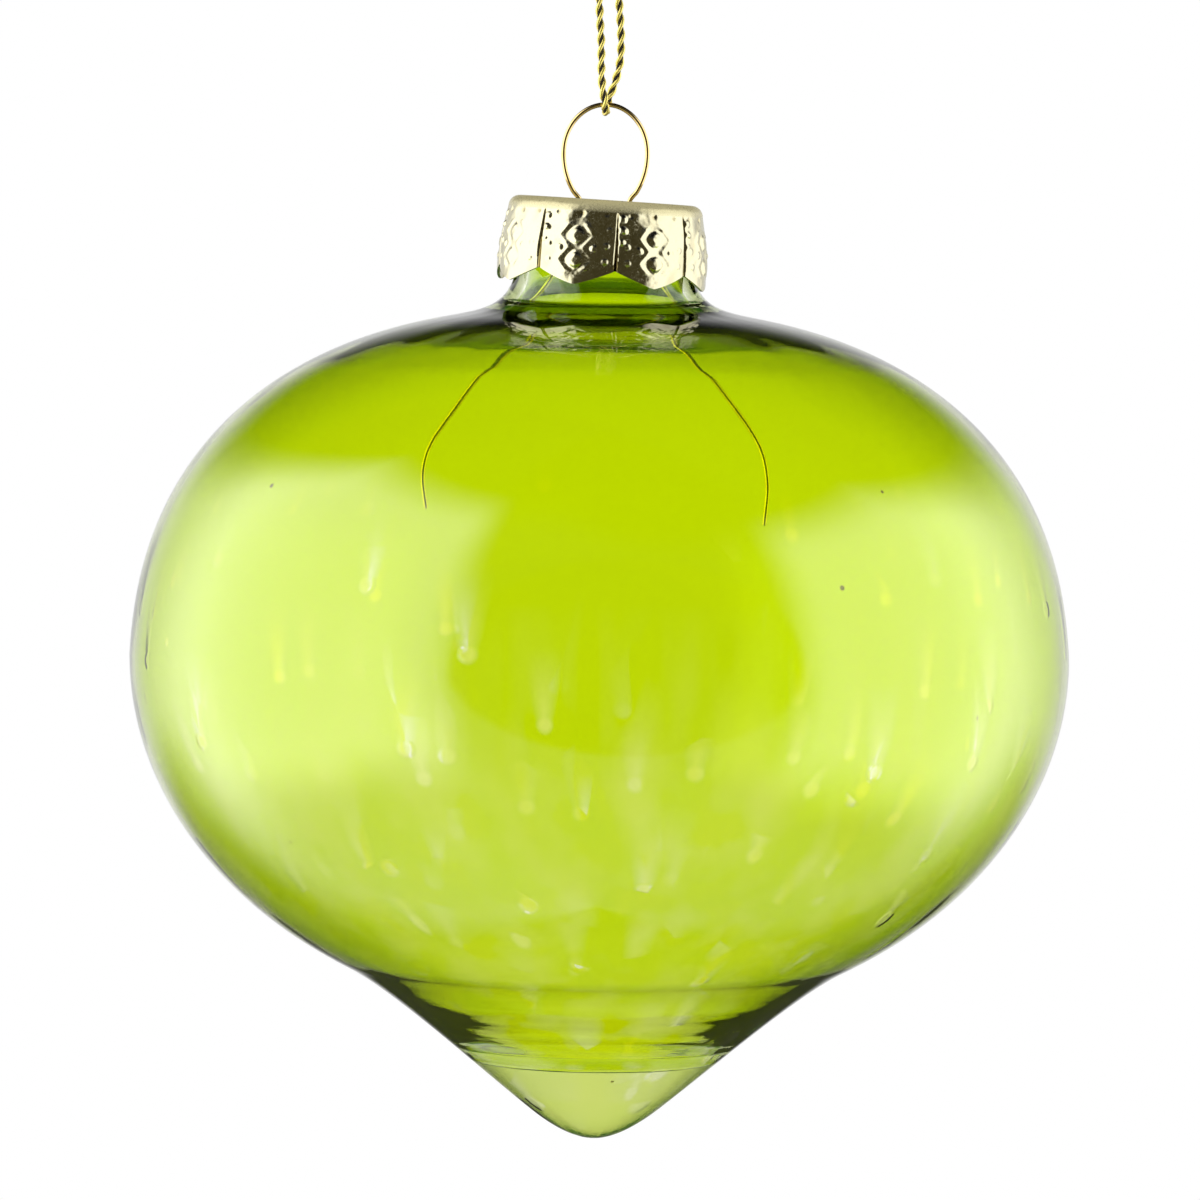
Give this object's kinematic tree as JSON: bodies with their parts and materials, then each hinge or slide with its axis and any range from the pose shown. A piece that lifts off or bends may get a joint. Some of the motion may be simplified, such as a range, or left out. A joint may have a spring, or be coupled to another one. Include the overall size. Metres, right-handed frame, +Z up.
{
  "type": "hanging glass ornament",
  "caption": "Blown-glass tree ornament drawn to a point, with a stamped crown cap, a sprung wire hanger and a cord loop.",
  "frame": {"origin": "the point inside the cord loop, under its knot, where a hook or twig carries the ornament", "axes": "+Z up along the hanging line, +X across the wire ring, the pictured side faces -Y"},
  "size_m": [0.1, 0.1, 0.1335],
  "materials": {
    "lime_glass": "clear blown glass, lime lacquered inside",
    "cap_gold": "stamped sheet, polished, pale gold lacquer",
    "wire_gold": "bright drawn wire",
    "cord_gold": "twisted metallic thread with dark gaps"
  },
  "bodies": {
    "knot": {"cord_knot": "cord_gold"},
    "cord": {"cord_loop": "cord_gold"},
    "hanger": {"hanger_ring": "wire_gold", "hanger_leg_left": "wire_gold", "hanger_leg_right": "wire_gold", "crown_cap": "cap_gold"},
    "bulb": {"glass_bulb": "lime_glass"}
  },
  "joints": [
    {"name": "cord_twist", "type": "hinge", "parent": "knot", "child": "cord", "pos_m": [0, 0, 0], "axis": [0, 0, 1], "range_deg": [-180, 180], "stiffness_Nm_per_rad": 0.0001},
    {"name": "hanger_swing", "type": "hinge", "parent": "cord", "child": "hanger", "pos_m": [0, 0, -0.015], "axis": [1, 0, 0], "range_deg": [-60, 60]},
    {"name": "bulb_pull_off", "type": "slide", "parent": "hanger", "child": "bulb", "axis": [0, 0, -1], "range_m": [0, 0.036], "deforming": ["hanger_leg_left", "hanger_leg_right"]}
  ]
}
